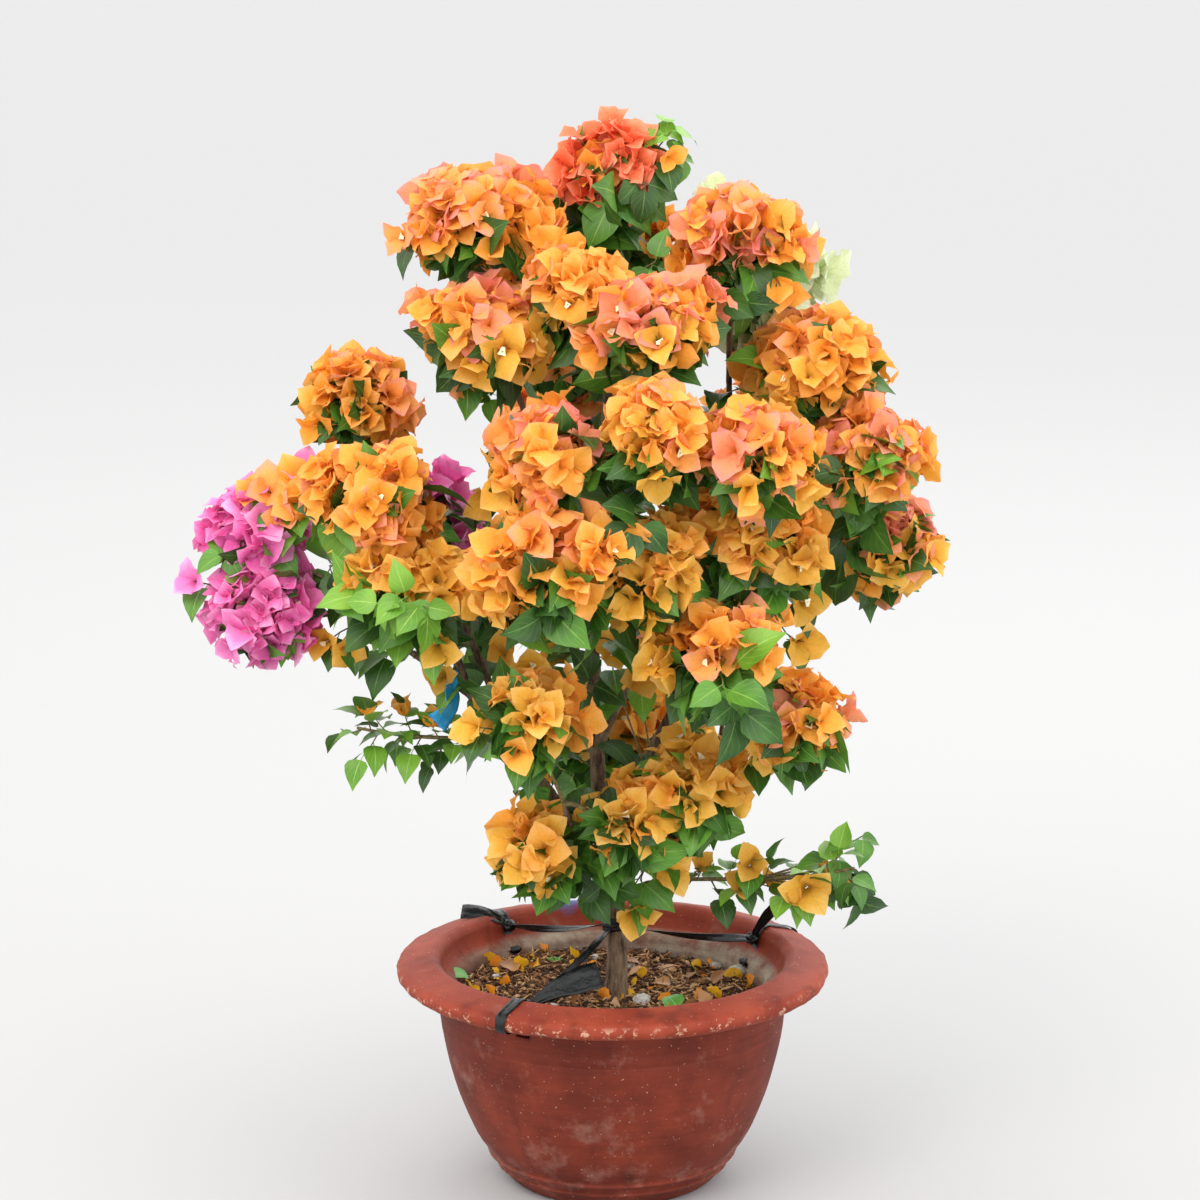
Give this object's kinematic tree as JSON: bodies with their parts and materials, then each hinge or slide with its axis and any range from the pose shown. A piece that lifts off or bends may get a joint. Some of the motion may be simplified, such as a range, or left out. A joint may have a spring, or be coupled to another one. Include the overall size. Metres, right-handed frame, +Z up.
{
  "type": "potted bougainvillea",
  "caption": "Bougainvillea bush in orange, peach and pink bloom in a round wide-lipped clay pot, its trunk guyed to the lip with strips of black film.",
  "frame": {"origin": "middle of the pot's flat underside", "axes": "+Z up along the pot's axis, +X to the right as the bush is seen from its front, -Y towards that viewer"},
  "size_m": [0.8326, 0.7021, 1.1963],
  "materials": {
    "clay": "rough unglazed fired clay with lime stains",
    "potting_mix": "loose bark and fibre mulch",
    "bark": "ridged grey-brown bark",
    "film": "crumpled black film",
    "ribbon": "smooth blue film",
    "coral_bracts": "papery",
    "peach_bracts": "papery",
    "orange_bracts": "papery",
    "gold_bracts": "papery, in shade",
    "pink_bracts": "papery",
    "white_bracts": "papery",
    "leaves": "smooth green leaves"
  },
  "bodies": {
    "root": {"pot": "clay", "soil": "potting_mix", "trunk": "bark", "bough_left": "bark", "bough_centre": "bark", "bough_right": "bark", "bough_right_up": "bark", "bough_back": "bark", "bough_low_front": "bark", "bough_far_left": "bark", "bough_left_high": "bark", "bough_front": "bark", "bough_top": "bark", "bough_top_left": "bark", "bough_top_right": "bark", "bough_far_right": "bark", "bough_back_right": "bark", "bough_back_up": "bark", "top_coral": "coral_bracts", "top_leaves": "leaves", "upper_left": "peach_bracts", "upper_right": "peach_bracts", "white_back": "white_bracts", "upper_middle": "orange_bracts", "left_shoulder": "peach_bracts", "upper_centre": "peach_bracts", "left_outlier": "orange_bracts", "left_large": "orange_bracts", "pink_upper": "pink_bracts", "pink_lower": "pink_bracts", "left_low": "gold_bracts", "centre_left": "peach_bracts", "centre": "orange_bracts", "centre_right": "peach_bracts", "right_upper": "orange_bracts", "right_large": "peach_bracts", "right_low": "peach_bracts", "inner_right": "gold_bracts", "centre_low": "orange_bracts", "centre_low_right": "gold_bracts", "low_right": "orange_bracts", "low_right_tip": "peach_bracts", "low_left": "gold_bracts", "low_centre": "gold_bracts", "low_centre_right": "gold_bracts", "bottom_left": "gold_bracts", "left_spray": "leaves", "right_spray": "leaves", "back_top": "peach_bracts", "back_shoulder": "orange_bracts", "back_left": "pink_bracts", "back_centre": "orange_bracts", "back_right": "peach_bracts", "back_low_left": "gold_bracts", "back_low_right": "orange_bracts", "back_bottom": "gold_bracts", "tie_front": "film", "tie_left": "film", "tie_right": "film", "ribbon": "ribbon"}
  },
  "joints": []
}
